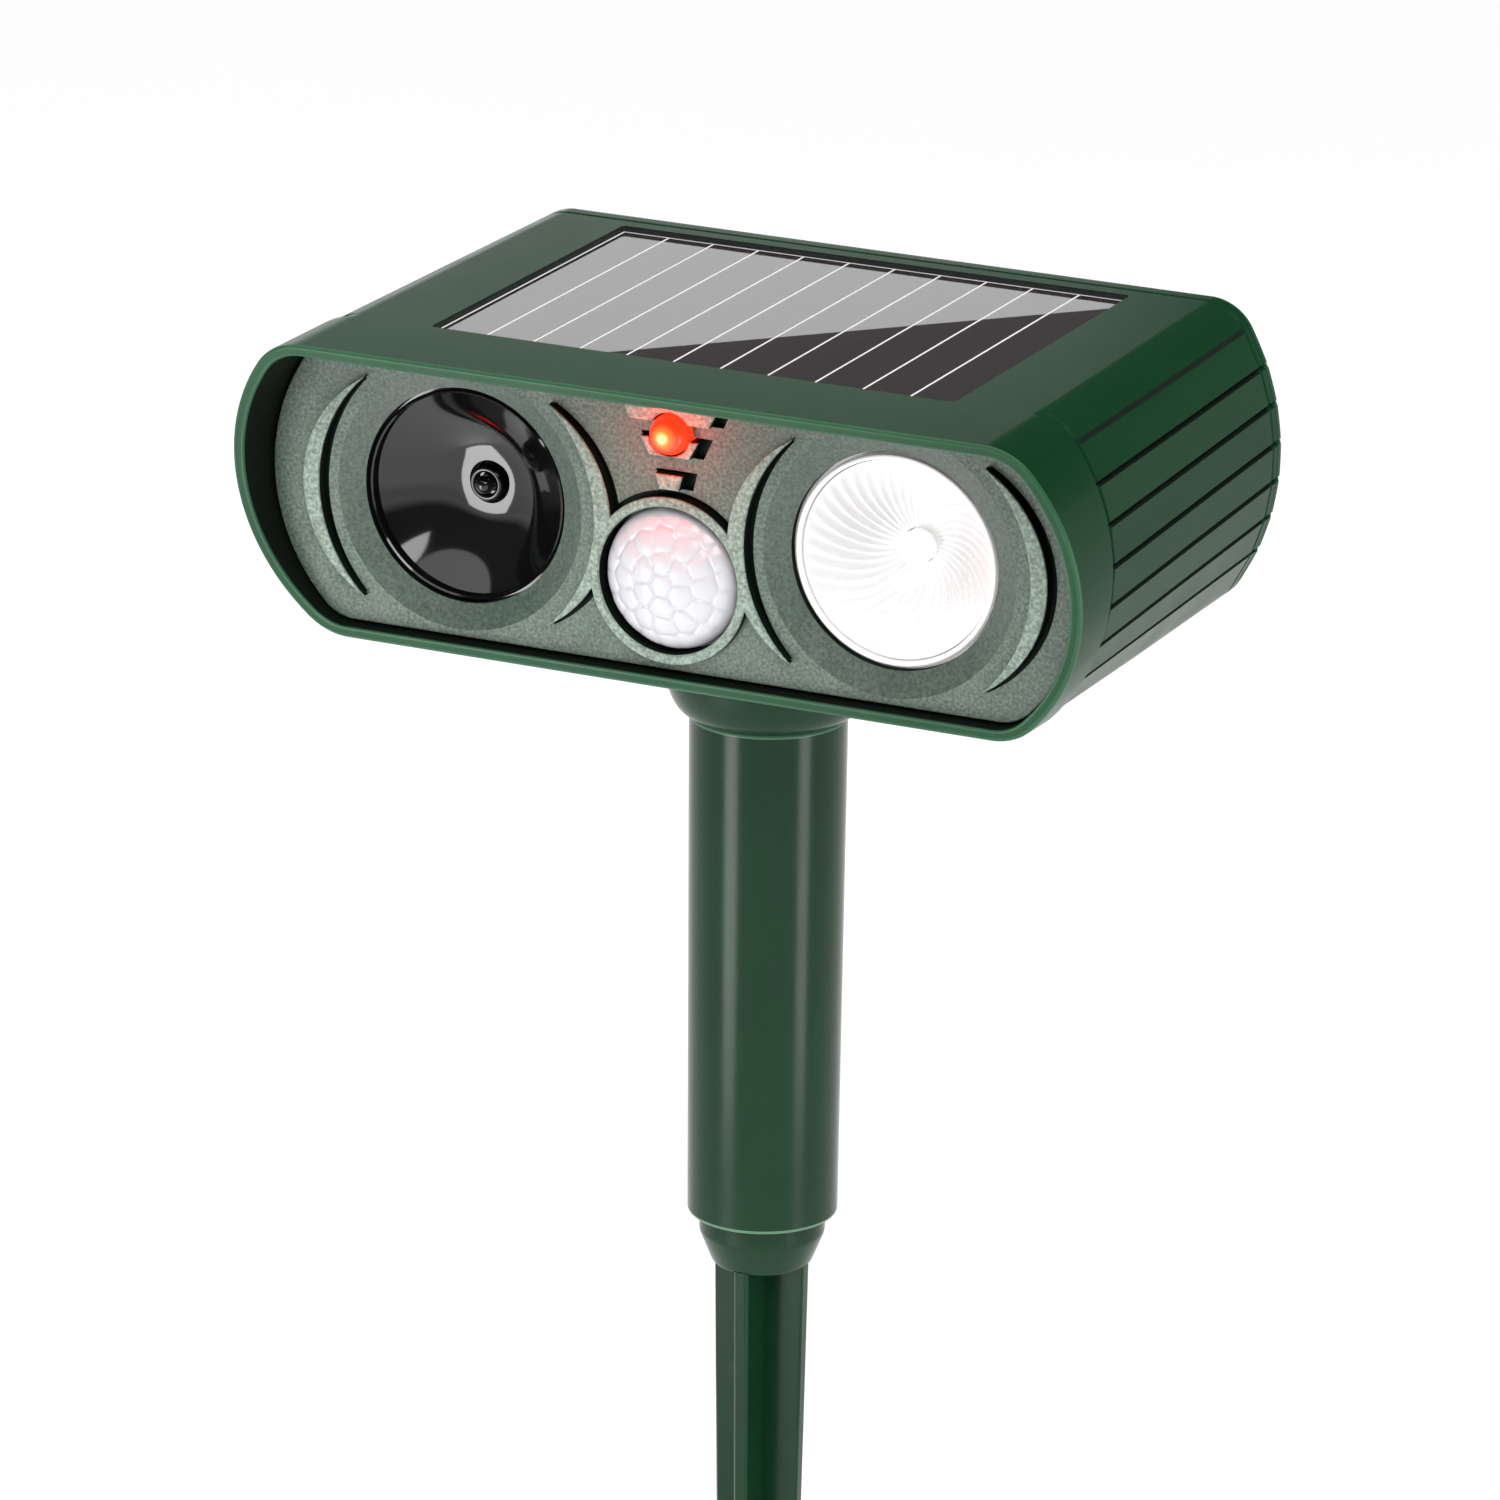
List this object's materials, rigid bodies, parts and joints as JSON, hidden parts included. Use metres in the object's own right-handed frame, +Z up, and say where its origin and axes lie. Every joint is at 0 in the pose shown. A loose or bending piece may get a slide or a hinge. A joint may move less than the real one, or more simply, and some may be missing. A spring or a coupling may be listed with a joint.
{
  "type": "ultrasonic pest repeller",
  "caption": "Solar garden pest repeller: a hooded head with a horn speaker, a strobe and a motion sensor swivels on a tube over a ground spike.",
  "frame": {"origin": "on the tube's axis at the ground line, where the tube's foot stands", "axes": "+Z up along the tube, -Y the way the face looks, +X to the right of someone facing the eyes"},
  "size_m": [0.1486, 0.1029, 0.2861],
  "materials": {
    "housing": "satin gloss moulded green",
    "tube": "gloss moulded dark green",
    "face": "fine grained grey green",
    "black_gloss": "high gloss black",
    "black_plastic": "satin black",
    "reflector": "bright fluted white",
    "white_lens": "translucent white",
    "red_lens": "lit red lens",
    "solar_cells": "dark cells with thin light lines",
    "clear_cover": "clear gloss sheet",
    "rubber": "matt black",
    "plated_steel": "zinc plated",
    "circuit_board": "solder mask green",
    "component": "moulded black",
    "capacitor_sleeve": "blue sleeve",
    "copper": "lacquered copper wire",
    "cell_wrap": "plain shrink wrap",
    "red_wire": "red insulation",
    "white_wire": "white insulation"
  },
  "bodies": {
    "spike": {"ground_spike": "tube"},
    "pole": {"pole_tube": "tube"},
    "head": {"head_shell": "housing", "face_panel": "face", "rear_cover": "housing", "cover_gasket": "rubber", "speaker_horn": "black_gloss", "phase_plug": "black_gloss", "speaker_driver": "black_plastic", "strobe_reflector": "reflector", "strobe_led": "white_lens", "strobe_board": "circuit_board", "pir_dome": "white_lens", "pir_sensor": "plated_steel", "sensor_board": "circuit_board", "status_led": "red_lens", "solar_panel": "solar_cells", "solar_cover": "clear_cover", "neck_socket": "tube", "neck_o_ring": "rubber", "main_board": "circuit_board", "controller_chip": "component", "rotary_switch": "component", "push_switch": "component", "usb_socket": "plated_steel", "filter_capacitor": "capacitor_sleeve", "step_up_coil": "copper", "battery_cradle": "black_plastic", "battery_cell_1": "cell_wrap", "battery_cell_2": "cell_wrap", "battery_cell_3": "cell_wrap", "battery_spring_1": "plated_steel", "battery_spring_2": "plated_steel", "battery_spring_3": "plated_steel", "contact_plate": "plated_steel", "solar_lead": "red_wire", "speaker_lead": "rubber", "strobe_lead": "white_wire", "battery_lead": "red_wire", "face_screw_1": "plated_steel", "face_screw_2": "plated_steel", "face_screw_3": "plated_steel", "face_screw_4": "plated_steel", "rear_screw_1": "plated_steel", "rear_screw_2": "plated_steel", "rear_screw_3": "plated_steel", "rear_screw_4": "plated_steel", "neck_screw_1": "plated_steel", "neck_screw_2": "plated_steel", "neck_screw_3": "plated_steel"},
    "knob": {"mode_knob": "black_plastic"},
    "button": {"power_button": "rubber"},
    "flap": {"usb_flap": "rubber"}
  },
  "joints": [
    {"name": "pole_slide", "type": "slide", "parent": "spike", "child": "pole", "axis": [0, 0, 1], "range_m": [0, 0.04]},
    {"name": "head_swivel", "type": "hinge", "parent": "pole", "child": "head", "pos_m": [0, 0, 0.0873], "axis": [0, 0, 1], "continuous": true},
    {"name": "knob_turn", "type": "hinge", "parent": "head", "child": "knob", "pos_m": [0.027, 0.0437, 0.1348], "axis": [0, 1, 0], "range_deg": [-125, 125]},
    {"name": "button_press", "type": "slide", "parent": "head", "child": "button", "axis": [0, -1, 0], "range_m": [0, 0.0012], "stiffness_N_per_m": 800},
    {"name": "flap_open", "type": "hinge", "parent": "head", "child": "flap", "pos_m": [-0.027, 0.0448, 0.1277], "axis": [-1, 0, 0], "range_deg": [0, 110]}
  ]
}
